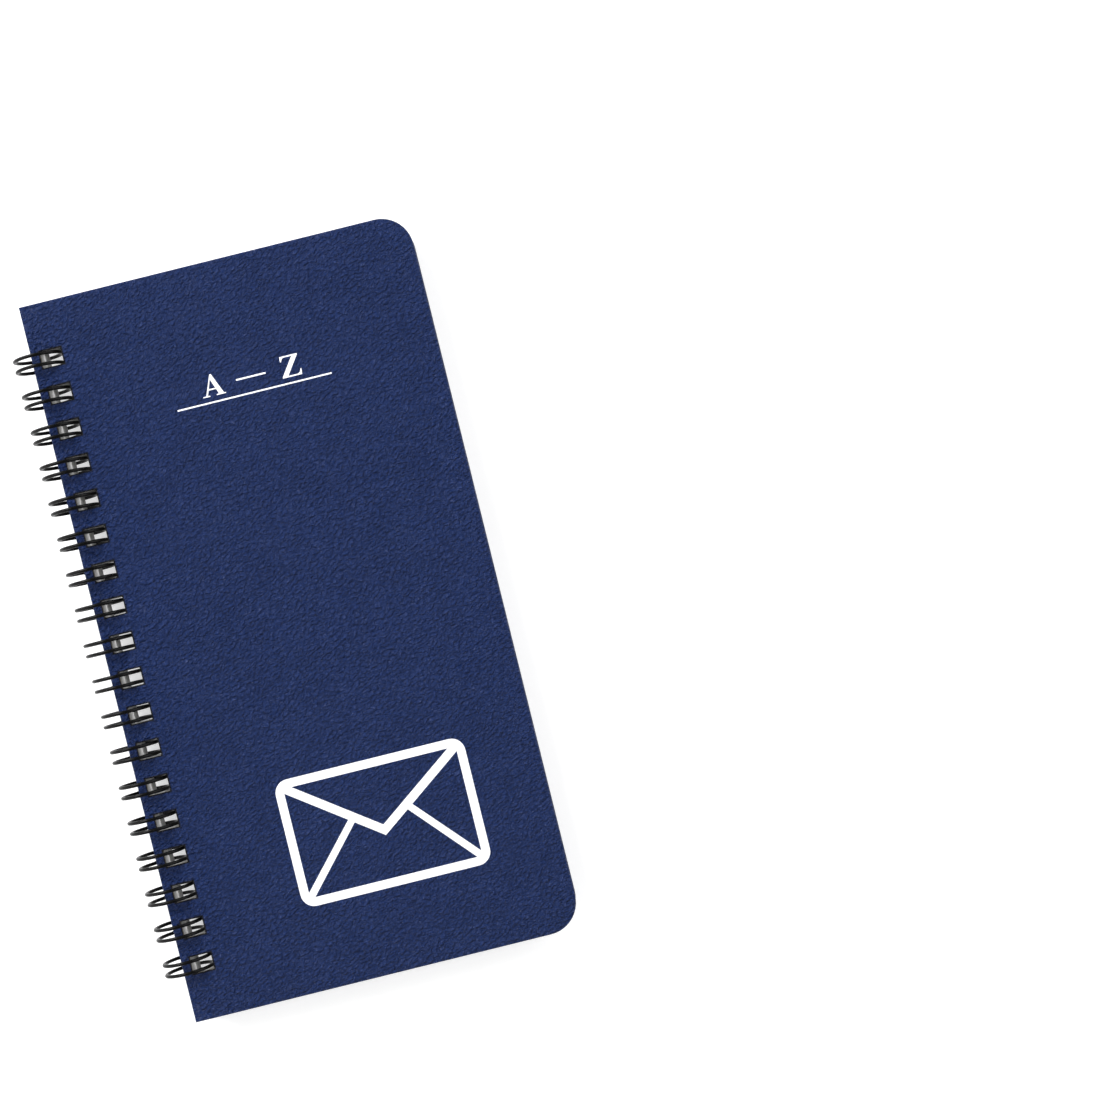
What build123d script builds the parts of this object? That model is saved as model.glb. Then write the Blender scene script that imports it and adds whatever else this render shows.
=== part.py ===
from build123d import *
from math import cos, degrees, floor, radians, sin, sqrt
import os

# Pocket address book with thumb-index tabs, wire bound, lying closed on its rear cover.
# +X runs from the wire to the fore edge, +Y to the head of the book, +Z up through the front cover.
# All sizes in millimetres; the origin is under the middle of the whole book.

# Covers: a board wrapped in a skin whose edges turn in over the inside, and a lining sheet
COVER_WIDTH = 92.0
COVER_HEIGHT = 170.0
COVER_CORNER = 7.5
SKIN_THICK = 0.2
BOARD_THICK = 0.55
LINING_THICK = 0.15
TURN_IN = 1.3
EDGE_ROUND = 0.25

# Leaves: how far they stand back from the covers, and how they are stacked
LEAF_THICK = 0.09
LEAF_GAP = 0.02
COVER_GAP = 0.06
HEAD_SQUARE = 2.0
FORE_SQUARE = 13.2
FLYLEAF_SQUARE = 8.2
LEAF_CORNER = 1.5
PAGES_PER_SECTION = 2
SECTIONS = ("ab", "cd", "ef", "gh", "ij", "kl", "mn", "op", "qr", "st", "uv", "wx", "yz")

# Index tabs: a paper tongue on the leaf with a label folded round it
TAB_REACH = 6.2
TAB_HEIGHT = 8.4
TAB_MARGIN = 5.8
TAB_CORNER = 0.6
LABEL_THICK = 0.08
LABEL_LAP = 0.45
LABEL_GAP = 0.01

# Twin-loop wire: loops at three to the inch, two strands each, through punched holes
WIRE_DIAMETER = 0.84
LOOP_PITCH = 25.4 / 3
LOOP_MARGIN = 9.5
STRAND_SPACING = 2.5
BASE_BEND = 1.0
RING_SLACK = 1.83
SEAM_ANGLE = 264.0
SEAM_GAP = 1.5
HOLE_PLAY = 0.3
HOLE_CORNER = 0.3

# Hinge line of every leaf, beside the middle of the rings, and the leaves' distance from it
AXIS_OFFSET = 1.0
EDGE_GAP = 0.05

COVER_THICK = SKIN_THICK + BOARD_THICK + LINING_THICK
LEAF_STEP = LEAF_THICK + LEAF_GAP
LABEL_ROOM = LABEL_THICK + LABEL_GAP
LEAF_COUNT = len(SECTIONS) * (1 + PAGES_PER_SECTION) + 2
LEAVES_THICK = LEAF_COUNT * LEAF_STEP - LEAF_GAP + LABEL_ROOM
HALF_STACK = LEAVES_THICK / 2 + COVER_GAP + COVER_THICK
WIRE_RADIUS = WIRE_DIAMETER / 2
RING_RADIUS = HALF_STACK + RING_SLACK + WIRE_RADIUS
HINGE_X = (RING_RADIUS + WIRE_RADIUS - AXIS_OFFSET - EDGE_GAP - COVER_WIDTH) / 2
HINGE_Z = RING_RADIUS + WIRE_RADIUS
RING_X = HINGE_X + AXIS_OFFSET
SPINE_X = HINGE_X + EDGE_GAP

LEAF_HEIGHT = COVER_HEIGHT - 2 * HEAD_SQUARE
INDEX_WIDTH = COVER_WIDTH - FORE_SQUARE
PAGE_WIDTH = INDEX_WIDTH - LABEL_LAP - LABEL_ROOM
FLYLEAF_WIDTH = COVER_WIDTH - FLYLEAF_SQUARE
TAB_PITCH = (LEAF_HEIGHT - 2 * TAB_MARGIN - TAB_HEIGHT) / (len(SECTIONS) - 1)
LOOP_COUNT = floor((LEAF_HEIGHT - 2 * LOOP_MARGIN) / LOOP_PITCH) + 1
LOOP_PLACES = [(i - (LOOP_COUNT - 1) / 2) * LOOP_PITCH for i in range(LOOP_COUNT)]


def wire_reach(height):
    """Nearest distance from the hinge line at which the wire crosses a sheet that is being turned.

    A sheet whose far face lies at the height over the hinge line and that has turned by t stands
    height + c sin t from the rings' middle; it meets the inside of the wire at the root of r squared
    less that sum squared, plus c cos t, where c is the hinge line's offset and r the rings' inner radius.
    """
    inner = RING_RADIUS - WIRE_RADIUS
    turns = [radians(step) for step in range(181)]
    heights = [height + AXIS_OFFSET * sin(turn) for turn in turns]
    crossings = [sqrt(inner**2 - over**2) for over in heights]
    return min(cross + AXIS_OFFSET * cos(turn) for cross, turn in zip(crossings, turns))


COVER_HOLE_NEAR = wire_reach(HALF_STACK) - HOLE_PLAY
LEAF_HOLE_NEAR = wire_reach(LEAVES_THICK / 2) - HOLE_PLAY
HOLE_FAR = AXIS_OFFSET + RING_RADIUS + WIRE_RADIUS + HOLE_PLAY
HOLE_HEIGHT = STRAND_SPACING + WIRE_DIAMETER + 2 * HOLE_PLAY


def blank(width, height, corner, inset=0.0):
    """Flat outline of a sheet from the spine edge, its two fore-edge corners rounded."""
    sheet = Pos(SPINE_X + width / 2, 0) * Rectangle(width - 2 * inset, height - 2 * inset)
    return fillet(sheet.vertices().group_by(Axis.X)[-1], corner - inset)


def punched(outline, near):
    """The outline with one square hole at each loop of the wire, starting near from the hinge line."""
    hole = RectangleRounded(HOLE_FAR - near, HOLE_HEIGHT, HOLE_CORNER)
    middle = HINGE_X + (near + HOLE_FAR) / 2
    return outline - [Pos(middle, place) * hole for place in LOOP_PLACES]


def raised(outline, bottom, thickness):
    """A sheet of the outline, lifted to its place in the stack."""
    return Pos(0, 0, bottom) * extrude(outline, thickness)


def save(shape, node):
    shape.label = node
    export_step(shape, f"parts/{node}.step")


os.makedirs("parts", exist_ok=True)

# Rear cover, outside down: the skin is hollowed for the board, and open inside for the lining.
# The front cover is the same cover turned over about the middle of the stack.
cover_bottom = HINGE_Z - HALF_STACK
cover_outline = blank(COVER_WIDTH, COVER_HEIGHT, COVER_CORNER)
board_outline = punched(blank(COVER_WIDTH, COVER_HEIGHT, COVER_CORNER, SKIN_THICK), COVER_HOLE_NEAR)
lining_outline = punched(blank(COVER_WIDTH, COVER_HEIGHT, COVER_CORNER, TURN_IN), COVER_HOLE_NEAR)
board_bottom = cover_bottom + SKIN_THICK
lining_bottom = board_bottom + BOARD_THICK

wrap = raised(cover_outline, cover_bottom, COVER_THICK)
rims = wrap.edges().group_by(Axis.Z)
wrap = fillet(rims[0] + rims[-1], EDGE_ROUND)
punch = raised(cover_outline - punched(cover_outline, COVER_HOLE_NEAR), cover_bottom, COVER_THICK)
rear_board = raised(board_outline, board_bottom, BOARD_THICK)
rear_lining = raised(lining_outline, lining_bottom, LINING_THICK)
rear_skin = wrap - punch - rear_board - rear_lining

turned_over = Plane((0, 0, HINGE_Z), z_dir=(0, 0, 1))
save(rear_skin, "rear_cover_skin")
save(rear_board, "rear_cover_board")
save(rear_lining, "rear_cover_lining")
save(mirror(rear_skin, turned_over), "front_cover_skin")
save(mirror(rear_board, turned_over), "front_cover_board")
save(mirror(rear_lining, turned_over), "front_cover_lining")

# Leaves, from the bottom of the stack up: the rear flyleaf, then each section from the last letters
# to the first, its plain pages under the leaf that carries the index tab, and the front flyleaf
flyleaf_outline = punched(blank(FLYLEAF_WIDTH, LEAF_HEIGHT, LEAF_CORNER), LEAF_HOLE_NEAR)
index_outline = punched(blank(INDEX_WIDTH, LEAF_HEIGHT, LEAF_CORNER), LEAF_HOLE_NEAR)
page_outline = punched(blank(PAGE_WIDTH, LEAF_HEIGHT, LEAF_CORNER), LEAF_HOLE_NEAR)
page = extrude(page_outline, LEAF_THICK)
tab_edge = SPINE_X + INDEX_WIDTH

height = cover_bottom + COVER_THICK + COVER_GAP
save(raised(flyleaf_outline, height, LEAF_THICK), "rear_flyleaf")
for section in reversed(range(len(SECTIONS))):
    letters = SECTIONS[section]
    pages = []
    for _ in range(PAGES_PER_SECTION):
        height += LEAF_STEP
        pages.append(Pos(0, 0, height) * page)
    save(Compound(children=pages), f"pages_{letters}")

    height += LEAF_STEP
    place = LEAF_HEIGHT / 2 - TAB_MARGIN - TAB_HEIGHT / 2 - section * TAB_PITCH
    tongue_length = TAB_REACH - LABEL_THICK - LABEL_GAP
    tongue_sketch = Pos(tab_edge + tongue_length / 2, place) * Rectangle(tongue_length, TAB_HEIGHT)
    index_leaf = raised(index_outline + tongue_sketch, height, LEAF_THICK)
    save(index_leaf, f"index_leaf_{letters}")

    label_length = TAB_REACH + LABEL_LAP
    label_sketch = Pos(tab_edge - LABEL_LAP + label_length / 2, place) * Rectangle(label_length, TAB_HEIGHT)
    label_sketch = fillet(label_sketch.vertices().group_by(Axis.X)[-1], TAB_CORNER)
    label = raised(label_sketch, height - LABEL_ROOM, LEAF_THICK + 2 * LABEL_ROOM)
    slot_length = label_length - LABEL_THICK
    slot = Box(slot_length, TAB_HEIGHT, LEAF_THICK + 2 * LABEL_GAP)
    slot_middle = tab_edge - LABEL_LAP + slot_length / 2
    save(label - Pos(slot_middle, place, height + LEAF_THICK / 2) * slot, f"index_tab_{letters}")

height += LEAF_STEP + LABEL_ROOM
save(raised(flyleaf_outline, height, LEAF_THICK), "front_flyleaf")


# Twin-loop wire: one tube that runs along the back of the rear cover, turns off into a ring strand,
# doubles back at the ring's tip and returns down the second strand, loop after loop
def on_ring(angle, along, out=0.0):
    """Point on the rings at the angle, shifted along the ring's tangent there by out."""
    turn = radians(angle)
    x = RING_X + RING_RADIUS * cos(turn) - out * sin(turn)
    z = HINGE_Z + RING_RADIUS * sin(turn) + out * cos(turn)
    return Vector(x, along, z)


def strand(start, end, along):
    """Ring strand from one angle to the other, in four arcs."""
    marks = [start + (end - start) * eighth / 8 for eighth in range(9)]
    spots = [on_ring(mark, along) for mark in marks]
    return [ThreePointArc(spots[i], spots[i + 1], spots[i + 2]) for i in range(0, 8, 2)]


def loop_path(place):
    """Centre line of one loop, from half a pitch before its middle to half a pitch after."""
    tip_angle = SEAM_ANGLE + 360 - degrees((SEAM_GAP + STRAND_SPACING / 2) / RING_RADIUS)
    half = STRAND_SPACING / 2
    bend = BASE_BEND * sin(radians(45))
    first = place - half
    second = place + half
    base_in = on_ring(SEAM_ANGLE, first - BASE_BEND, -BASE_BEND)
    base_out = on_ring(SEAM_ANGLE, second + BASE_BEND, -BASE_BEND)
    rise = on_ring(SEAM_ANGLE, first - BASE_BEND + bend, -bend)
    fall = on_ring(SEAM_ANGLE, second + BASE_BEND - bend, -bend)
    return [
        Line(on_ring(SEAM_ANGLE, place - LOOP_PITCH / 2, -BASE_BEND), base_in),
        ThreePointArc(base_in, rise, on_ring(SEAM_ANGLE, first)),
        *strand(SEAM_ANGLE, tip_angle, first),
        ThreePointArc(on_ring(tip_angle, first), on_ring(tip_angle, place, half), on_ring(tip_angle, second)),
        *strand(tip_angle, SEAM_ANGLE, second),
        ThreePointArc(on_ring(SEAM_ANGLE, second), fall, base_out),
        Line(base_out, on_ring(SEAM_ANGLE, place + LOOP_PITCH / 2, -BASE_BEND)),
    ]


runs = [run for place in LOOP_PLACES for run in loop_path(place)]
path = Wire(runs)
section = Plane(path @ 0, z_dir=path % 0) * Circle(WIRE_RADIUS)
wire = sweep(section, path=path)
save(wire, "twin_loop_wire")

# Least gap of the wire to itself, over two loops, on points that lie further apart along the wire than
# the doubled-back tip is long
samples = []
travelled = 0.0
for run in loop_path(0.0) + loop_path(LOOP_PITCH):
    for step in range(24):
        samples.append((travelled + run.length * step / 24, run @ (step / 24)))
    travelled += run.length
least = min(
    (here - there).length
    for near, here in samples
    for far, there in samples
    if far - near > 2.2 * STRAND_SPACING
)
fullness = wire.volume / (section.area * path.length)
print(f"wire: {LOOP_COUNT} loops, volume over section times length {fullness:.5f}")
print(f"least gap of the wire to itself {least - WIRE_DIAMETER:.3f} mm")
print(f"holes from {COVER_HOLE_NEAR:.3f} in covers, {LEAF_HOLE_NEAR:.3f} in leaves, to {HOLE_FAR:.3f}")
print(f"holes {HOLE_HEIGHT:.3f} high, ring radius {RING_RADIUS:.3f}")
print(f"hinge line at x {HINGE_X:.4f}, z {HINGE_Z:.4f}; stack {2 * HALF_STACK:.3f} thick")
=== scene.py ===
from math import radians
import bmesh
import bpy
import numpy as np
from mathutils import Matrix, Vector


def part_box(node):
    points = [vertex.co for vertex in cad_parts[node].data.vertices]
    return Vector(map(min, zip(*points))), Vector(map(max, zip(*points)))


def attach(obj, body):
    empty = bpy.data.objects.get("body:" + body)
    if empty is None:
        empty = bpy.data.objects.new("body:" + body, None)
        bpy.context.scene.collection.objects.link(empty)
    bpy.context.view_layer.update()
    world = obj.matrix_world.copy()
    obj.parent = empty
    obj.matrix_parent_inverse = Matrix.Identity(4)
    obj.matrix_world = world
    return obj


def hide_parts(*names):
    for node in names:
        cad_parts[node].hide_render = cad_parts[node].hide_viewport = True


# Pocket address book in navy leatherette, wire bound, with thumb-index tabs, dressed for its portrait.
# Everything is in metres in the book's own frame: +X to the fore edge, +Y to the head, +Z up.
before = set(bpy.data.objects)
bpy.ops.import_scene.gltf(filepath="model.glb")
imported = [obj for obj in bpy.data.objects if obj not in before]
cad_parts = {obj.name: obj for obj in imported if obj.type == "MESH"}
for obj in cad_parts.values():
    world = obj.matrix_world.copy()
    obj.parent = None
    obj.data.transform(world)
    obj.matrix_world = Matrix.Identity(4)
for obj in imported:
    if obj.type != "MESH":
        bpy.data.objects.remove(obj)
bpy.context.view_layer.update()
MM = 0.001


# Cover boards: stiff grey chipboard, cut to the cover's outline and punched along the spine.
# The skin is glued round them, so only their raw edges show, inside the punched holes.
PULP_DARK = (0.16, 0.145, 0.125, 1)
PULP_LIGHT = (0.36, 0.33, 0.29, 1)
FLECK_DEPTH = 0.03 * MM


class Signal:
    """A value that runs between shader nodes; arithmetic on numbers adds Math nodes."""

    def __init__(self, tree, socket=None):
        self.tree = tree
        self.socket = socket

    def feed(self, socket, value):
        """Links a signal to the socket, or sets a plain value on it."""
        if isinstance(value, Signal):
            self.tree.links.new(value.socket, socket)
        else:
            socket.default_value = value

    def node(self, kind, sockets, output=0, **settings):
        """Output of a new node: its settings are set first, then its sockets' values or links."""
        made = self.tree.nodes.new("ShaderNode" + kind)
        for setting, value in settings.items():
            setattr(made, setting, value)
        for socket, value in sockets.items():
            self.feed(made.inputs[socket], value)
        return Signal(self.tree, made.outputs[output])

    def maths(self, operation, *others):
        return self.node("Math", dict(enumerate((self, *others))), operation=operation)

    def __add__(self, other):
        return self.maths("ADD", other)

    def __mul__(self, other):
        return self.maths("MULTIPLY", other)

    def __sub__(self, other):
        return self.maths("SUBTRACT", other)

    def __rsub__(self, other):
        return self.node("Math", {0: other, 1: self}, operation="SUBTRACT")

    def __truediv__(self, other):
        return self.maths("DIVIDE", other)

    def __gt__(self, other):
        return self.maths("GREATER_THAN", other)

    def __lt__(self, other):
        return self.maths("LESS_THAN", other)

    def __abs__(self):
        return self.maths("ABSOLUTE")

    __radd__ = __add__
    __rmul__ = __mul__

    def band(self, low, high):
        """1 where the value lies between low and high, otherwise 0."""
        return self.maths("COMPARE", (low + high) / 2, (high - low) / 2)

    def ease(self, low, high):
        """Smooth step from 0 at low to 1 at high."""
        sockets = {"Value": self, "From Min": low, "From Max": high}
        return self.node("MapRange", sockets, interpolation_type="SMOOTHSTEP")

    def axis(self, index):
        """One number of a vector."""
        return self.node("SeparateXYZ", {0: self}, output=index)

    def tint(self, low, high):
        """Colour that goes from low to high as the value goes from 0 to 1."""
        return self.node("Mix", {0: self, 6: low, 7: high}, output=2, data_type="RGBA")


def new_finish(name):
    """A new material, and the place on the object in millimetres as a signal."""
    material = bpy.data.materials.new(name)
    material.use_nodes = True
    place = Signal(material.node_tree).node("TexCoord", {}, output="Object")
    return material, place.node("VectorMath", {0: place, "Scale": 1 / MM}, operation="SCALE")


def noise(place, scale, detail=2.0, roughness=0.5):
    """Soft random tone from 0 to 1 with scale lumps to the millimetre."""
    sockets = {"Vector": place, "Scale": scale, "Detail": detail, "Roughness": roughness}
    return place.node("TexNoise", sockets)


def relief(height, depth, strength=1.0):
    """Normal of a surface whose height signal of 0 to 1 stands for a depth in metres."""
    return height.node("Bump", {"Height": height, "Distance": depth, "Strength": strength})


def lay_on(material, sockets):
    """Sets or links the sockets of the material's shader."""
    shader = material.node_tree.nodes["Principled BSDF"]
    for name, value in sockets.items():
        Signal(material.node_tree).feed(shader.inputs[name], value)
    return material


def clad(material, *nodes):
    """Gives CAD nodes the material."""
    for node in nodes:
        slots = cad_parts[node].data.materials
        slots.clear()
        slots.append(material)


def greyboard():
    """Pressed grey pulp: a soft cloud of tone, and fine flecks where the fibres show."""
    material, place = new_finish("greyboard")
    cloud = noise(place, 0.9, 3.0)
    flecks = noise(place, 7.0, 3.0, 0.7).ease(0.45, 0.72)
    tone = (cloud * 0.5 + flecks * 0.5).tint(PULP_DARK, PULP_LIGHT)
    return lay_on(material, {"Base Color": tone, "Roughness": 0.95, "Normal": relief(flecks, FLECK_DEPTH)})


clad(greyboard(), "front_cover_board", "rear_cover_board")


# Cover skins: navy leatherette, embossed with a fine slanting grain, drawn tight round the board.
# It turns in over the edges and is glued down inside, so the rim is stretched and a little smoother.
# Round the punched holes the skin is painted near black, as painted shade for the shadow at the holes' edges.
SKIN_LOW, SKIN_HIGH = (np.array(corner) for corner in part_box("front_cover_skin"))
COVER_TOP = SKIN_HIGH[2]
GRAIN_SLANT = radians(28)
GRAIN_LENGTH = 0.92
GRAIN_WIDTH = 0.66
GRAIN_WANDER = 1.2
CREASE_SHARE = 0.3
LUMP_SHARE = 0.7
RIM_CORNER = 7.5
HOLE_COUNT = 18
HOLE_PITCH = 25.4 / 3
HOLE_REACH = (2.17, 7.22)
HOLE_HEIGHT = 3.94
# Valley and ridge tones: partly the skin's own grain colour, partly painted shade in the valleys and painted
# highlight on the ridges.
NAVY_VALLEY = (0.0006, 0.0104, 0.06, 1)
NAVY_RIDGE = (0.0072, 0.0212, 0.0925, 1)
NAVY_RUBBED = (0.06, 0.07, 0.14, 1)
# Near black of the painted shade round the punched holes.
HOLE_SHADE_BLACK = (0.0006, 0.0007, 0.0012, 1)
NAVY_ROUGHNESS = 0.42
TONE_CONTRAST = 1.1
TONE_DRIFT = 0.12
GRAIN_DEPTH = 1.1 * MM
RIM_FADE = (0.1, 1.1)
RIM_SMOOTHED = 0.5
RIM_DARKENED = 0.45
RIM_RUBBED = 0.25
# Distance in mm over which the painted shade round the holes fades out.
HOLE_SHADE_FADE = (0.1, 0.5)


def grain(place, length, width):
    """Height of an embossed grain, 0 in the valleys and 1 on the ridges.

    The place is turned along the grain and divided by a lump's length and width, then pushed about
    by a slow noise. A soft noise gives the lumps, the borders of cells round scattered points cut
    creases between them, and a slow noise makes the whole stronger in some places than in others.
    """
    turn = {"Vector": place, "Rotation": (0, 0, -GRAIN_SLANT)}
    along = place.node("Mapping", turn)
    cells = along.node("Mapping", {"Vector": along, "Scale": (1 / length, 1 / width, 1 / width)})
    push = cells.node("TexNoise", {"Vector": cells, "Scale": 0.8, "Detail": 2.0}, output="Color")
    push = push.node("VectorMath", {0: push, 1: (0.5, 0.5, 0.5)}, operation="SUBTRACT")
    push = push.node("VectorMath", {0: push, "Scale": GRAIN_WANDER}, operation="SCALE")
    cells = cells.node("VectorMath", {0: cells, 1: push}, operation="ADD")
    border = cells.node("TexVoronoi", {"Vector": cells, "Scale": 0.6}, feature="DISTANCE_TO_EDGE")
    lumps = noise(cells, 1.0, 2.0, 0.5)
    height = border.ease(0.0, 0.3) * CREASE_SHARE + lumps.ease(0.25, 0.75) * LUMP_SHARE - 0.5
    return height * (noise(place, 0.13).ease(0.25, 0.75) * 0.3 + 0.85) + 0.5


def rim_distance(place):
    """Distance in mm inwards from the cover's outline, a rectangle with rounded corners.

    The place is folded about the cover's middle; past the corners' centres it is the corner radius
    less the distance to that centre, and elsewhere the distance to the nearer straight side.
    """
    middle = (SKIN_LOW + SKIN_HIGH) / 2 / MM
    reach = (SKIN_HIGH - SKIN_LOW) / 2 / MM - RIM_CORNER
    across = abs(place.axis(0) - middle[0]) - reach[0]
    along = abs(place.axis(1) - middle[1]) - reach[1]
    across_past = across.maths("MAXIMUM", 0.0)
    along_past = along.maths("MAXIMUM", 0.0)
    corner = (across_past * across_past + along_past * along_past).maths("SQRT")
    inside = across.maths("MAXIMUM", along).maths("MINIMUM", 0.0)
    return RIM_CORNER - corner - inside


def hole_distance(place):
    """Distance in mm outwards from the nearest punched hole.

    The place along the spine is folded into one pitch; the distance is the larger of those past the
    hole's sides and ends, and grows beyond the two ends of the row.
    """
    middle = SKIN_LOW[0] / MM + sum(HOLE_REACH) / 2
    across = abs(place.axis(0) - middle) - (HOLE_REACH[1] - HOLE_REACH[0]) / 2
    fold = place.axis(1).maths("FLOORED_MODULO", HOLE_PITCH)
    along = abs(fold - HOLE_PITCH / 2) - HOLE_HEIGHT / 2
    beyond = abs(place.axis(1)) - HOLE_COUNT / 2 * HOLE_PITCH
    return across.maths("MAXIMUM", along).maths("MAXIMUM", beyond)


def navy_leatherette():
    """Navy skin: the grain sets tone, roughness and bump, its ridges lighter and valleys darker as the skin's
    own grain colour and as painted highlight and painted shade; the rim is smoother, darker and faintly
    rubbed; round the holes it is painted near black as painted shade.
    """
    material, place = new_finish("navy_leatherette")
    height = grain(place, GRAIN_LENGTH, GRAIN_WIDTH)
    drift = noise(place, 0.09, 2.0)
    rim = 1 - rim_distance(place).ease(*RIM_FADE)
    rubbed = rim * noise(place, 1.1, 3.0).ease(0.5, 0.75)
    soft = height * (1 - rim * RIM_SMOOTHED)
    excess = (TONE_CONTRAST + TONE_DRIFT - 1) / 2
    # Ridges are painted lighter and valleys darker: partly real grain colour, partly painted highlight and
    # painted shade.
    tone = (soft * TONE_CONTRAST + drift * TONE_DRIFT - excess).tint(NAVY_VALLEY, NAVY_RIDGE)
    tone = (rim * RIM_DARKENED).tint(tone, NAVY_VALLEY)
    tone = (rubbed * RIM_RUBBED).tint(tone, NAVY_RUBBED)
    # Painted shade: the skin within half a millimetre of each hole is painted near black.
    hole_shade = 1 - hole_distance(place).ease(*HOLE_SHADE_FADE)
    tone = hole_shade.tint(tone, HOLE_SHADE_BLACK)
    roughness = NAVY_ROUGHNESS - height * 0.1 - rim * 0.05 + hole_shade * 0.4
    return lay_on(material, {
        "Base Color": tone,
        "Roughness": roughness,
        "Specular IOR Level": 0.17,
        "Normal": relief(soft, GRAIN_DEPTH),
    })


clad(navy_leatherette(), "front_cover_skin", "rear_cover_skin")


# Cover stamping: white foil pressed into the front skin with a heated die.
# A to Z over a rule near the head, and a line drawing of an envelope near the tail.
FOIL_RISE = 0.015 * MM
FOIL_SINK = 0.05 * MM
TITLE_PLACE = (4.7, 54.4)
TITLE_RULE = (36.6, 0.35)
TITLE_RULE_DROP = 1.4
TITLE_DASH = (7.0, 0.38)
TITLE_DASH_RISE = 2.3
LETTER_A_START = -11.8
LETTER_Z_START = 7.1
ENVELOPE_PLACE = (9.5, -50.5)
ENVELOPE_SIZE = (45.0, 30.0)
ENVELOPE_CORNER = 3.2
FOIL_DULL = (0.78, 0.79, 0.82, 1)
FOIL_BRIGHT = (0.88, 0.88, 0.89, 1)
FOIL_GRAIN_DEPTH = 0.05 * MM


def solid_of(curve):
    """Points and triangles of a flat curve or a text with its thickness, its doubled rims merged."""
    holder = bpy.data.objects.new(curve.name, curve)
    mesh = bpy.data.meshes.new_from_object(holder)
    form = bmesh.new()
    form.from_mesh(mesh)
    bmesh.ops.remove_doubles(form, verts=form.verts, dist=1e-5)
    bmesh.ops.triangulate(form, faces=form.faces)
    bmesh.ops.recalc_face_normals(form, faces=form.faces)
    form.to_mesh(mesh)
    form.free()
    points = np.empty(len(mesh.vertices) * 3)
    mesh.vertices.foreach_get("co", points)
    triangles = np.empty(len(mesh.polygons) * 3, int)
    mesh.loops.foreach_get("vertex_index", triangles)
    bpy.data.objects.remove(holder)
    bpy.data.curves.remove(curve)
    bpy.data.meshes.remove(mesh)
    return points.reshape(-1, 3), triangles.reshape(-1, 3)


def new_piece(name, points, faces, material, body, smooth=False):
    """A mesh piece from its points in metres and its faces, in the material, riding on a body."""
    mesh = bpy.data.meshes.new(name)
    mesh.from_pydata(points.tolist(), [], faces if isinstance(faces, list) else faces.tolist())
    mesh.polygons.foreach_set("use_smooth", np.full(len(mesh.polygons), smooth))
    mesh.materials.append(material)
    piece = bpy.data.objects.new(name, mesh)
    bpy.context.scene.collection.objects.link(piece)
    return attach(piece, body)


def stamp(name, outlines, place, material):
    """Foil of the outlines, given in mm about its place; an outline inside another is a window in it."""
    die = bpy.data.curves.new(name, "CURVE")
    die.dimensions = "2D"
    die.fill_mode = "BOTH"
    die.extrude = 0.5
    for outline in outlines:
        rim = die.splines.new("POLY")
        rim.points.add(len(outline) - 1)
        flat = np.zeros((len(outline), 4))
        flat[:, :2] = outline
        rim.points.foreach_set("co", flat.ravel())
        rim.use_cyclic_u = True
    points, triangles = solid_of(die)
    points = points * (MM, MM, FOIL_RISE + FOIL_SINK)
    points += (place[0] * MM, place[1] * MM, COVER_TOP + (FOIL_RISE - FOIL_SINK) / 2)
    return new_piece(name, points, triangles, material, "front_cover")


def bar(size, middle):
    """Outline of a level rectangle."""
    return np.array([(-1, -1), (1, -1), (1, 1), (-1, 1)]) * np.array(size) / 2 + middle


def rounded_bar(size, corner, steps=8):
    """Outline of a rectangle with round corners: a quarter circle about each corner's centre."""
    quarter = np.linspace(0, np.pi / 2, steps)
    angles = (np.arange(4)[:, None] * np.pi / 2 + quarter).ravel()
    sides = np.repeat([(1, 1), (-1, 1), (-1, -1), (1, -1)], steps, axis=0)
    return sides * (np.array(size) / 2 - corner) + corner * np.column_stack([np.cos(angles), np.sin(angles)])


def foil_white():
    """White foil: bright and satin, the cover's grain showing faintly through it."""
    material, place = new_finish("white_foil")
    height = grain(place, GRAIN_LENGTH, GRAIN_WIDTH)
    return lay_on(material, {
        "Base Color": height.tint(FOIL_DULL, FOIL_BRIGHT),
        "Roughness": 0.42 - height * 0.1,
        "Normal": relief(height, FOIL_GRAIN_DEPTH, 0.5),
    })


letter_a = np.array([
    (0.0, 0.0), (1.65, 0.0), (1.65, 0.2), (1.15, 0.3), (1.55, 1.45), (3.35, 1.45), (3.75, 0.3), (3.2, 0.2),
    (3.2, 0.0), (5.4, 0.0), (5.4, 0.2), (4.9, 0.3), (2.95, 5.05), (2.6, 5.05), (0.75, 0.3), (0.0, 0.2),
])
letter_a_window = np.array([(1.68, 1.75), (3.22, 1.75), (2.42, 3.95)])
letter_z = np.array([
    (0.0, 0.0), (4.55, 0.0), (4.7, 1.35), (4.45, 1.35), (4.15, 0.6), (3.7, 0.32), (1.35, 0.32), (4.45, 4.75),
    (4.45, 5.0), (0.3, 5.0), (0.2, 3.8), (0.45, 3.8), (0.75, 4.45), (1.1, 4.68), (3.1, 4.68), (0.0, 0.25),
])
flap_window = np.array([(-18.6, 13.0), (0.0, -0.5), (18.6, 13.0)])
side_window = np.array([(-20.5, 11.9), (-20.5, -11.8), (-7.6, 2.52)])
foot_window = np.array([(-19.3, -13.0), (19.3, -13.0), (6.3, 1.58), (0.0, -3.0), (-6.3, 1.58)])

white_foil = foil_white()
stamp("title_foil", [
    letter_a + (LETTER_A_START, 0),
    letter_a_window + (LETTER_A_START, 0),
    bar(TITLE_DASH, (0, TITLE_DASH_RISE)),
    letter_z + (LETTER_Z_START, 0),
    bar(TITLE_RULE, (0, -TITLE_RULE_DROP)),
], TITLE_PLACE, white_foil)
stamp("envelope_foil", [
    rounded_bar(ENVELOPE_SIZE, ENVELOPE_CORNER),
    flap_window,
    side_window,
    side_window * (-1, 1),
    foot_window,
], ENVELOPE_PLACE, white_foil)


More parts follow.
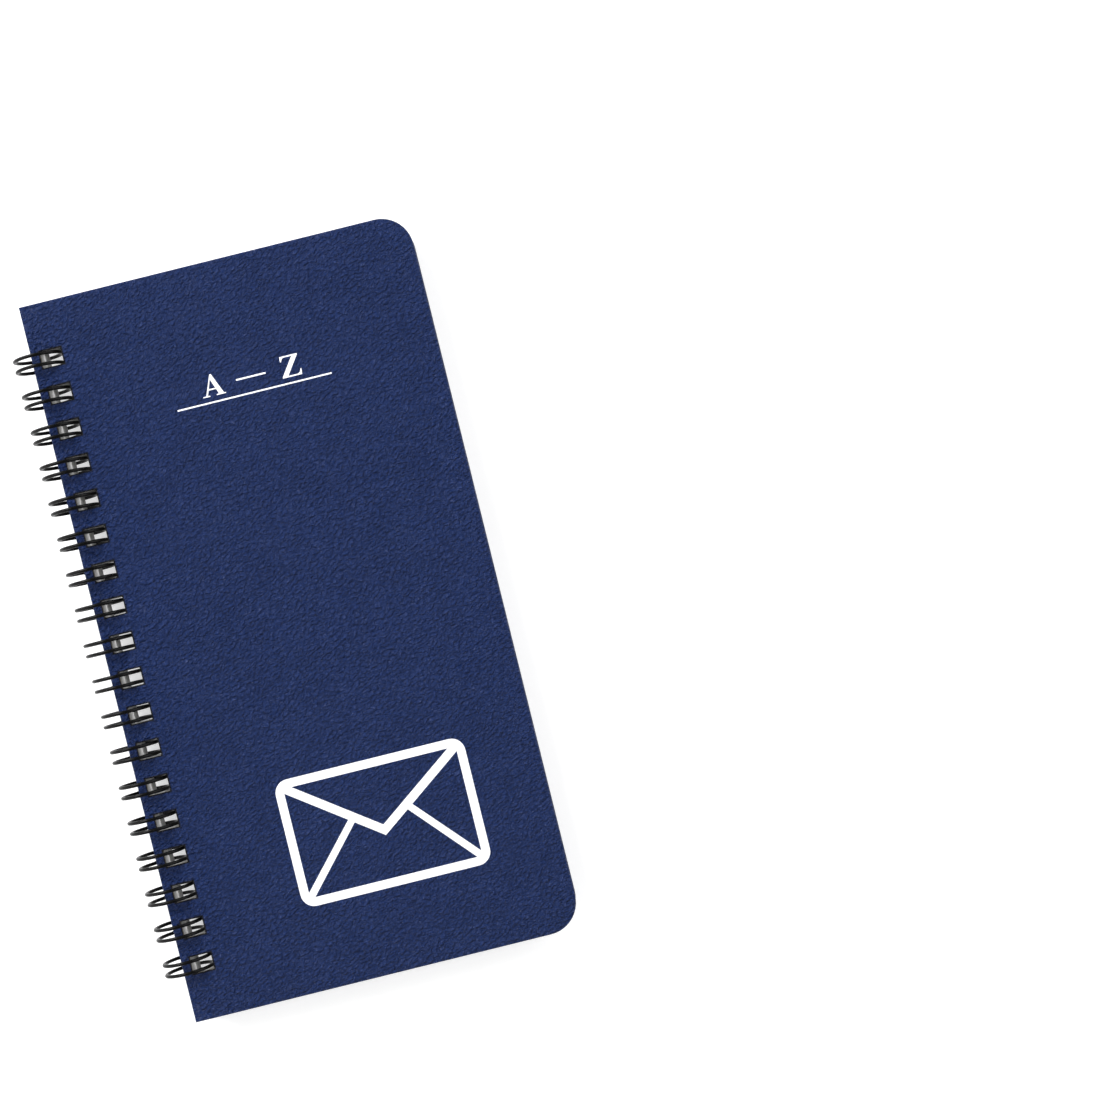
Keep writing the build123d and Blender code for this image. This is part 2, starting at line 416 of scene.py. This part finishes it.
# Cover linings: a sheet of dull navy paper pasted inside each cover over the turned-in skin.
# It is uncoated and speckled with lighter and darker fibres.
LINING_DARK = (0.016, 0.019, 0.047, 1)
LINING_LIGHT = (0.086, 0.092, 0.145, 1)
LINING_PEPPER = (0.02, 0.02, 0.044, 1)
SPECKLE_DEPTH = 0.02 * MM


def lining_paper():
    """Dull navy paper: three speckles of different fineness over a slate blue."""
    material, place = new_finish("lining_paper")
    speckle = noise(place, 1.7, 4.0, 0.75).ease(0.28, 0.72)
    pepper = noise(place, 3.4, 1.0).ease(0.55, 0.75)
    cloud = noise(place, 0.15)
    tone = (speckle + cloud * 0.3 - 0.15).tint(LINING_DARK, LINING_LIGHT)
    tone = (pepper * 0.5).tint(tone, LINING_PEPPER)
    return lay_on(material, {
        "Base Color": tone,
        "Roughness": 0.9,
        "Specular IOR Level": 0.25,
        "Normal": relief(speckle, SPECKLE_DEPTH),
    })


clad(lining_paper(), "front_cover_lining", "rear_cover_lining")


# Flyleaves: plain white leaves between the covers and the ruled pages, wider than the pages.
# Smooth wood-free paper, punched together with the rest of the block.
FLYLEAF_THIN = (0.53, 0.53, 0.525, 1)
FLYLEAF_FULL = (0.59, 0.59, 0.58, 1)
FLYLEAF_CUT = (0.41, 0.405, 0.39, 1)
FIBRE_DEPTH = 0.008 * MM


def paper_base(place):
    """Faint fibre texture of white paper, 0 to 1."""
    fibres = place.node("Mapping", {"Vector": place, "Scale": (2.2, 5.5, 5.5)})
    return noise(fibres, 1.0, 4.0, 0.65)


def cut_layers(place):
    """0 on the faces of a leaf; on its cut edges, streaks from 0 to 1 that run along the edge."""
    cut = abs(place.node("TexCoord", {}, output="Normal").axis(2)) < 0.5
    sheets = place.node("Mapping", {"Vector": place, "Scale": (0.03, 0.03, 3.5)})
    return cut * noise(sheets, 1.0, 3.0, 0.7).ease(0.35, 0.65)


def plain_paper():
    """White paper, a touch greyer where the fibres lie thin and in streaks on the cut edges."""
    material, place = new_finish("flyleaf_paper")
    fibres = paper_base(place)
    tone = fibres.tint(FLYLEAF_THIN, FLYLEAF_FULL)
    tone = cut_layers(place).tint(tone, FLYLEAF_CUT)
    return lay_on(material, {
        "Base Color": tone,
        "Roughness": 0.88,
        "Specular IOR Level": 0.2,
        "Normal": relief(fibres, FIBRE_DEPTH),
    })


clad(plain_paper(), "front_flyleaf", "rear_flyleaf")


# Ruled leaves: thirteen index leaves, each followed by its plain pages, printed alike on both sides.
# Six entries to a page, every second one on a pale ground, between heavy rules.
SECTIONS = ("ab", "cd", "ef", "gh", "ij", "kl", "mn", "op", "qr", "st", "uv", "wx", "yz")
LEAF_LOW, LEAF_HIGH = (np.array(corner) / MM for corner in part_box("front_flyleaf"))
BLOCK = (10.6, 74.7)
FIRST_RULE = 7.84
ENTRY_PITCH = 25.9
ENTRIES = 6
HEAVY_RULE = 0.5
FIRST_LINE = 4.05
LINE_PITCH = 4.14
LINE = 0.32
LABEL_RISE = 0.45
LINE_SPANS = (
    [(17.3, 74.7)],
    [(18.4, 74.7)],
    [(15.2, 42.6), (47.6, 56.7), (60.4, 74.7)],
    [(20.8, 42.6), (52.8, 74.7)],
    [(15.2, 42.6), (46.1, 74.7)],
    [(17.3, 74.7)],
)
LABEL_SPANS = (
    [(11.0, 16.4)],
    [(11.0, 17.6)],
    [(11.0, 14.4), (43.2, 46.9), (57.3, 59.7)],
    [(11.0, 17.2), (18.0, 20.2), (43.2, 49.2), (50.0, 52.2)],
    [(11.0, 14.5), (43.2, 45.5)],
    [(11.0, 16.5)],
)
LABEL_LETTER = 0.74
LABEL_HEIGHT = 1.8
HEADING_SPANS = [(11.0, 25.6), (26.6, 40.2)]
HEADING_FOOT = 6.2
HEADING_BAND = (2.0, 7.0)
HEADING_LETTER = 1.5
HEADING_HEIGHT = 3.0
HEADING_SLANT = 0.2
PAGE_THIN = (0.56, 0.56, 0.56, 1)
PAGE_FULL = (0.62, 0.62, 0.615, 1)
PAGE_CUT = (0.42, 0.415, 0.4, 1)
PALE_VIOLET = (0.455, 0.45, 0.545, 1)
LINE_GREY = (0.16, 0.16, 0.17, 1)
LABEL_BLACK = (0.03, 0.03, 0.034, 1)
RULE_BLACK = (0.012, 0.012, 0.014, 1)
HEADING_BLUE = (0.02, 0.05, 0.31, 1)


def in_spans(across, spans):
    """1 inside any of the spans."""
    masks = [across.band(*span) for span in spans]
    return sum(masks[1:], masks[0])


def in_rows(across, row, spans_by_row):
    """1 inside the spans of the row that the point lies in."""
    masks = [row.band(k - 0.5, k + 0.5) * in_spans(across, spans) for k, spans in enumerate(spans_by_row)]
    return sum(masks[1:], masks[0])


def word_marks(across, rise, line, letter, tall):
    """Marks that stand for small print and can't be read.

    Cells a letter wide each have a stem and, by chance, a second stem, a bar at the top or the foot,
    and extra height; rise is the height over the foot of the letters.
    """
    count = across / letter
    cell = count.maths("FLOOR")
    within = count - cell
    seed = cell.node("CombineXYZ", {0: cell, 1: line})
    chance = seed.node("TexWhiteNoise", {"Vector": seed}, output="Color")
    height = ((chance.axis(0) > 0.62) * 0.42 + 1.0) * (tall / 1.42)
    up = rise / height
    stems = within.band(0.08, 0.3) + (chance.axis(1) > 0.3) * within.band(0.56, 0.78)
    top_bar = (chance.axis(2) > 0.35) * up.band(0.82, 1.0)
    foot_bar = (chance.axis(2) < 0.6) * up.band(0.0, 0.18)
    bars = within.band(0.08, 0.78) * (top_bar + foot_bar)
    return (stems + bars).maths("MINIMUM", 1.0) * up.band(0.0, 1.0)


def ruled_paper():
    """White paper with the entry form in black, grey, pale violet and blue, on both sides of a leaf.

    Across is measured from the spine on a right-hand page, and from the fore edge on its back; down
    is measured from the head. Entry and row are those numbers divided by their pitch, rounded down.
    """
    material, place = new_finish("ruled_paper")
    facing = place.node("TexCoord", {}, output="Normal").axis(2)
    flat = abs(facing) > 0.5
    right_hand = facing > 0.0
    from_spine = place.axis(0) - LEAF_LOW[0]
    across = right_hand * from_spine + (1 - right_hand) * (sum(BLOCK) - from_spine)
    down = LEAF_HIGH[1] - place.axis(1)

    below = down - FIRST_RULE
    entry = (below / ENTRY_PITCH).maths("FLOOR")
    form = across.band(*BLOCK) * below.band(-HEAVY_RULE / 2, ENTRIES * ENTRY_PITCH + HEAVY_RULE / 2) * flat
    heavy = (below + HEAVY_RULE / 2).maths("FLOORED_MODULO", ENTRY_PITCH) < HEAVY_RULE
    shaded = entry.maths("FLOORED_MODULO", 2.0) > 0.5
    into = below - entry * ENTRY_PITCH - (FIRST_LINE - LINE / 2)
    row = (into / LINE_PITCH).maths("FLOOR")
    past = into - row * LINE_PITCH
    lines = (past < LINE) * in_rows(across, row, LINE_SPANS)
    label_foot = LINE_PITCH - LABEL_RISE
    labels = word_marks(across, label_foot - past, entry * ENTRIES + row, LABEL_LETTER, LABEL_HEIGHT)
    labels = labels * in_rows(across, row + 1, LABEL_SPANS)
    heading_rise = HEADING_FOOT - down
    upright = across - heading_rise * HEADING_SLANT
    heading = word_marks(upright, heading_rise, 0.0, HEADING_LETTER, HEADING_HEIGHT)
    heading = heading * in_spans(across, HEADING_SPANS) * down.band(*HEADING_BAND) * flat

    fibres = paper_base(place)
    tone = fibres.tint(PAGE_THIN, PAGE_FULL)
    tone = cut_layers(place).tint(tone, PAGE_CUT)
    tone = (form * shaded).tint(tone, PALE_VIOLET)
    tone = (form * lines).tint(tone, LINE_GREY)
    tone = (form * labels).tint(tone, LABEL_BLACK)
    tone = (form * heavy).tint(tone, RULE_BLACK)
    tone = heading.tint(tone, HEADING_BLUE)
    return lay_on(material, {
        "Base Color": tone,
        "Roughness": 0.85,
        "Specular IOR Level": 0.2,
        "Normal": relief(fibres, FIBRE_DEPTH),
    })


ruled = ruled_paper()
for letters in SECTIONS:
    clad(ruled, f"index_leaf_{letters}", f"pages_{letters}")


# Index tabs: a strip of black pebbled leatherette folded round the tongue of each index leaf.
# The two letters are stamped on both faces in gold foil, one under the other.
TAB_LETTER_HEIGHT = 3.1
TAB_LETTER_GAP = 0.55
TAB_LETTER_PLACE = 0.64
GOLD_RISE = 0.006 * MM
PEBBLE = (1.15, 0.85)
PEBBLE_DEPTH = 0.2 * MM
GOLD_GRAIN_DEPTH = 0.05 * MM
SKIN_BLACK = (0.002, 0.002, 0.0024, 1)
SKIN_WORN = (0.01, 0.01, 0.011, 1)
GOLD_DULL = (0.62, 0.42, 0.13, 1)
GOLD_BRIGHT = (0.95, 0.76, 0.36, 1)


def black_leatherette():
    """Black label skin: coarse pebbles with shiny tops and dull valleys."""
    material, place = new_finish("black_leatherette")
    height = grain(place, *PEBBLE)
    fine = noise(place, 4.0, 2.0)
    bumps = height * 0.85 + fine * 0.15
    return lay_on(material, {
        "Base Color": height.tint(SKIN_BLACK, SKIN_WORN),
        "Roughness": 0.48 - height * 0.18,
        "Specular IOR Level": 0.22,
        "Normal": relief(bumps, PEBBLE_DEPTH, 0.9),
    })


def gold_foil():
    """Pale pigmented gold foil, dulled where the grain dips."""
    material, place = new_finish("gold_foil")
    height = grain(place, *PEBBLE)
    return lay_on(material, {
        "Base Color": height.tint(GOLD_DULL, GOLD_BRIGHT),
        "Metallic": 0.6,
        "Roughness": 0.42 - height * 0.14,
        "Normal": relief(height, GOLD_GRAIN_DEPTH, 0.6),
    })


def glyph(letter):
    """Points and triangles of a plain letter, standing on the line and centred across."""
    text = bpy.data.curves.new("glyph", "FONT")
    text.body = letter
    text.extrude = 0.5
    points, triangles = solid_of(text)
    points[:, 0] -= (points[:, 0].min() + points[:, 0].max()) / 2
    return points, triangles


def tab_letters(letters, low, high):
    """Both letters on both faces of a tab: the pair on top, and the pair turned half round about Y below."""
    upper, lower = (glyph(letter) for letter in letters.upper())
    size = TAB_LETTER_HEIGHT * MM / CAP_HEIGHT
    stand = np.array([size, size, 2 * GOLD_RISE])
    lift = TAB_LETTER_GAP / 2 * MM
    pair = np.concatenate([
        upper[0] * stand + (0, lift, 0),
        lower[0] * stand + (0, -lift - TAB_LETTER_HEIGHT * MM, 0),
    ])
    triangles = np.concatenate([upper[1], lower[1] + len(upper[0])])
    middle = np.array([
        low[0] + TAB_LETTER_PLACE * (high[0] - low[0]), (low[1] + high[1]) / 2, (low[2] + high[2]) / 2,
    ])
    half = (high[2] - low[2]) / 2
    above = pair + (0, 0, half)
    points = np.concatenate([above, above * (-1, 1, -1)]) + middle
    return points, np.concatenate([triangles, triangles + len(pair)])


CAP_HEIGHT = glyph("H")[0][:, 1].max()
label_skin = black_leatherette()
letter_gold = gold_foil()
for letters in SECTIONS:
    tab = f"index_tab_{letters}"
    clad(label_skin, tab)
    letter_points, letter_triangles = tab_letters(letters, *(np.array(corner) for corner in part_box(tab)))
    new_piece(f"tab_letters_{letters}", letter_points, letter_triangles, letter_gold, f"section_{letters}")


# Binding wire: one length of black coated steel, bent into pairs of strands three to the inch.
# Each pair is closed into a ring through the punched holes, with its seam under the spine edge.
WIRE_RADIUS = 0.42 * MM
LOOP_PITCH = HOLE_PITCH * MM
STRAND_HALF = 1.25 * MM
BASE_BEND = 1.0 * MM
SEAM_ANGLE = radians(264)
SEAM_GAP = 1.5 * MM
WIRE_SIDES = 16
RING_STEPS = 72
BEND_STEPS = 8
TIP_STEPS = 10
PEEL_DEPTH = 0.015 * MM
COATING_BLACK = (0.002, 0.002, 0.0022, 1)
COATING_RUBBED = (0.03, 0.029, 0.029, 1)
WIRE_LOW, WIRE_HIGH = (np.array(corner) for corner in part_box("twin_loop_wire"))
RING_RADIUS = (WIRE_HIGH[0] - WIRE_LOW[0]) / 2 - WIRE_RADIUS
RING_X = (WIRE_HIGH[0] + WIRE_LOW[0]) / 2
RING_Z = WIRE_HIGH[2] - WIRE_RADIUS - RING_RADIUS


def loop_line():
    """One loop's centre line as three arrays: angle on the ring, place along it, shift along its tangent.

    It runs half a pitch along the seam, turns a quarter circle into a strand, goes round the ring to
    the tip, doubles back there in a half circle, and returns the same way on the other side.
    """
    tip_angle = SEAM_ANGLE + 2 * np.pi - (SEAM_GAP + STRAND_HALF) / RING_RADIUS
    quarter = np.linspace(0, np.pi / 2, BEND_STEPS)
    around = np.linspace(SEAM_ANGLE, tip_angle, RING_STEPS)[1:-1]
    tip_turn = np.linspace(-np.pi / 2, 0, TIP_STEPS)
    angle = np.concatenate([
        [SEAM_ANGLE], np.full(BEND_STEPS, SEAM_ANGLE), around, np.full(TIP_STEPS, tip_angle),
    ])
    along = np.concatenate([
        [-LOOP_PITCH / 2],
        -STRAND_HALF - BASE_BEND * (1 - np.sin(quarter)),
        np.full(len(around), -STRAND_HALF),
        STRAND_HALF * np.sin(tip_turn),
    ])
    shift = np.concatenate([
        [-BASE_BEND], -BASE_BEND * np.cos(quarter), np.zeros(len(around)), STRAND_HALF * np.cos(tip_turn),
    ])
    back = slice(-2, 0, -1)
    return (
        np.concatenate([angle, angle[back]]),
        np.concatenate([along, -along[back]]),
        np.concatenate([shift, shift[back]]),
    )


def wire_tube():
    """A round section carried along all the loops.

    The ring's radius direction lies square to the wire everywhere, so it and its cross product with
    the wire's direction span each section; both ends are closed with a flat cut.
    """
    angle, along, shift = loop_line()
    places = (np.arange(HOLE_COUNT) - (HOLE_COUNT - 1) / 2) * LOOP_PITCH
    along = np.append((places[:, None] + along).ravel(), places[-1] + LOOP_PITCH / 2)
    angle = np.append(np.tile(angle, HOLE_COUNT), SEAM_ANGLE)
    shift = np.append(np.tile(shift, HOLE_COUNT), -BASE_BEND)
    level = np.zeros_like(angle)
    outward = np.column_stack([np.cos(angle), level, np.sin(angle)])
    onward = np.column_stack([-np.sin(angle), level, np.cos(angle)])
    line = outward * RING_RADIUS + onward * shift[:, None] + np.column_stack([level, along, level])
    line += (RING_X, 0, RING_Z)
    heading = np.gradient(line, axis=0)
    heading /= np.linalg.norm(heading, axis=1, keepdims=True)
    sideways = np.cross(heading, outward)
    turn = np.arange(WIRE_SIDES) * 2 * np.pi / WIRE_SIDES
    points = line[:, None] + WIRE_RADIUS * (
        np.cos(turn)[:, None] * outward[:, None] + np.sin(turn)[:, None] * sideways[:, None]
    )
    here = np.arange(len(line) - 1)[:, None] * WIRE_SIDES
    side = np.arange(WIRE_SIDES)
    after = np.roll(side, -1)
    faces = np.stack([here + side, here + after, here + after + WIRE_SIDES, here + side + WIRE_SIDES], axis=2)
    last = (len(line) - 1) * WIRE_SIDES
    ends = [side[::-1].tolist(), (last + side).tolist()]
    return points.reshape(-1, 3), faces.reshape(-1, 4).tolist() + ends


def black_coating():
    """Black coating on steel: satin, with a fine orange peel and a few rubbed grey spots."""
    material, place = new_finish("black_wire_coating")
    peel = noise(place, 6.0, 2.0)
    rubbed = noise(place, 0.8, 4.0, 0.7).ease(0.6, 0.78)
    return lay_on(material, {
        "Base Color": (rubbed * 0.6).tint(COATING_BLACK, COATING_RUBBED),
        "Roughness": 0.24 + rubbed * 0.15 + peel * 0.08,
        "Specular IOR Level": 0.1,
        "Normal": relief(peel, PEEL_DEPTH, 0.5),
    })


wire_points, wire_faces = wire_tube()
wire = new_piece("binding_loops", wire_points, wire_faces, black_coating(), "rear_cover", smooth=True)
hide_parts("twin_loop_wire")


# Studio: the book lies on a white light table, which thins out its shadow and bends up into a round wall;
# one large soft light stands at the upper left, weaker ones at the right and low on the left.
COVE_FLAT = 2.0
COVE_BEND = 1.0
COVE_TOP = 2.8
COVE_SIDES = 96
COVE_STEPS = 24
TABLE_GREY = (0.6, 0.6, 0.6, 1)
TABLE_PALE = (0.62, 0.62, 0.62, 1)
TABLE_GLOW = 0.6
SURROUND_GLOW = 0.08
WHITE = (1, 1, 1, 1)


def light_table():
    """Matt white acrylic with a hardly visible cloud, lit from below."""
    material, place = new_finish("light_table")
    return lay_on(material, {
        "Base Color": noise(place, 0.02).tint(TABLE_GREY, TABLE_PALE),
        "Roughness": 0.95,
        "Specular IOR Level": 0.1,
        "Emission Color": WHITE,
        "Emission Strength": TABLE_GLOW,
    })


def cove():
    """A flat round floor with a wall, in metres: a line turned about the upright axis.

    The line starts at the floor's rim, goes up in a quarter circle and ends at the top of the wall.
    """
    bend = np.linspace(0, np.pi / 2, COVE_STEPS)
    out = np.append(COVE_FLAT + COVE_BEND * np.sin(bend), COVE_FLAT + COVE_BEND)
    up = np.append(COVE_BEND * (1 - np.cos(bend)), COVE_TOP)
    turn = np.arange(COVE_SIDES) * 2 * np.pi / COVE_SIDES
    circle = np.column_stack([np.cos(turn), np.sin(turn), np.zeros(COVE_SIDES)])
    points = circle * out[:, None, None] + np.array([0, 0, 1]) * up[:, None, None]
    here = np.arange(len(out) - 1)[:, None] * COVE_SIDES
    side = np.arange(COVE_SIDES)
    after = np.roll(side, -1)
    faces = np.stack([here + side, here + side + COVE_SIDES, here + after + COVE_SIDES, here + after], axis=2)
    return points.reshape(-1, 3), faces.reshape(-1, 4).tolist() + [side.tolist()]


cove_points, cove_faces = cove()
floor_mesh = bpy.data.meshes.new("floor")
floor_mesh.from_pydata(cove_points.tolist(), [], cove_faces)
floor_mesh.polygons.foreach_set("use_smooth", np.append(np.ones(len(cove_faces) - 1, bool), False))
floor_mesh.materials.append(light_table())
floor = bpy.data.objects.new("floor", floor_mesh)
bpy.context.scene.collection.objects.link(floor)


def softbox(name, place, size, power):
    """A square light of that size in metres and power in watts, turned from its place to the book."""
    lamp = bpy.data.lights.new(name, "AREA")
    lamp.size = size
    lamp.energy = power
    holder = bpy.data.objects.new(name, lamp)
    bpy.context.scene.collection.objects.link(holder)
    holder.location = place
    holder.rotation_euler = (-Vector(place)).to_track_quat("-Z", "Y").to_euler()


softbox("key_light", (-0.80, 1.05, 1.02), 0.8, 40.0)
softbox("fill_light", (0.85, 0.40, 0.65), 0.9, 7.0)
softbox("side_light", (-1.00, -0.25, 0.45), 0.6, 3.0)

surround = bpy.data.worlds.new("surround")
surround.use_nodes = True
background = surround.node_tree.nodes["Background"]
background.inputs["Color"].default_value = WHITE
background.inputs["Strength"].default_value = SURROUND_GLOW
bpy.context.scene.world = surround
bpy.context.scene.view_settings.view_transform = "Standard"


# Camera: straight above, turned so that the book leans as in the portrait, with the book on the left
# of the frame and its middle level with the frame's.
CAMERA_HEIGHT = 0.45
FRAME_WIDTH = 0.2561
FRAME_MIDDLE = (0.0629, -0.0002)
CAMERA_TURN = radians(-13.94)

lens = bpy.data.cameras.new("portrait_camera")
lens.sensor_width = 36.0
lens.lens = lens.sensor_width * CAMERA_HEIGHT / FRAME_WIDTH
lens.clip_start = 0.01
camera = bpy.data.objects.new("portrait_camera", lens)
camera.location = (*FRAME_MIDDLE, COVER_TOP + CAMERA_HEIGHT)
camera.rotation_euler = (0, 0, CAMERA_TURN)
bpy.context.scene.collection.objects.link(camera)
bpy.context.scene.camera = camera
